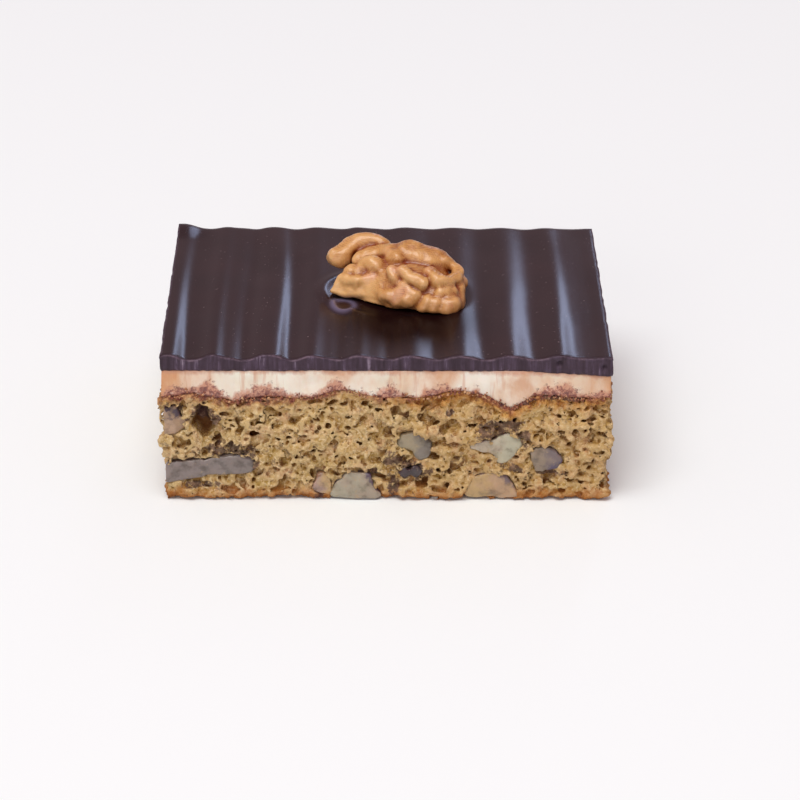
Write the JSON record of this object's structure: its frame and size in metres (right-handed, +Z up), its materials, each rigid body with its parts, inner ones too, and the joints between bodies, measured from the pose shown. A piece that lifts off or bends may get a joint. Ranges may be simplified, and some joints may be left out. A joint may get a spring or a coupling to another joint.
{
  "type": "walnut slice",
  "caption": "Rectangular slice of walnut sponge with a cream layer, a comb-ridged dark chocolate lid and half a walnut on top.",
  "frame": {"origin": "middle of the flat base, on the surface that the slice stands on", "axes": "+X along the long cut face to the right, +Y from the front cut face to the back, +Z up"},
  "size_m": [0.0976, 0.0717, 0.0454],
  "materials": {
    "sponge_crumb": null,
    "cream": "ivory cream with peach and brown knife smears, soft satin",
    "dark_chocolate": "dark chocolate, glossy comb-ridged top and dull cut edge",
    "walnut": "golden-brown walnut skin with a slight oily sheen",
    "cut_walnut": "pale grey-cream cut walnut with a thin dark skin at its rim"
  },
  "bodies": {
    "root": {"sponge": "sponge_crumb", "cream": "cream", "chocolate": "dark_chocolate", "walnut_half": "walnut", "walnut_piece_01": "cut_walnut", "walnut_piece_02": "cut_walnut", "walnut_piece_03": "cut_walnut", "walnut_piece_04": "cut_walnut", "walnut_piece_05": "cut_walnut", "walnut_piece_06": "cut_walnut", "walnut_piece_07": "cut_walnut", "walnut_piece_08": "cut_walnut", "walnut_piece_09": "cut_walnut", "walnut_piece_10": "cut_walnut", "walnut_piece_11": "cut_walnut", "walnut_piece_12": "cut_walnut", "walnut_piece_13": "cut_walnut", "walnut_piece_14": "cut_walnut", "walnut_piece_15": "cut_walnut", "walnut_piece_16": "cut_walnut", "walnut_piece_17": "cut_walnut", "walnut_piece_18": "cut_walnut", "walnut_piece_19": "cut_walnut", "walnut_piece_20": "cut_walnut", "walnut_piece_21": "cut_walnut"}
  },
  "joints": []
}
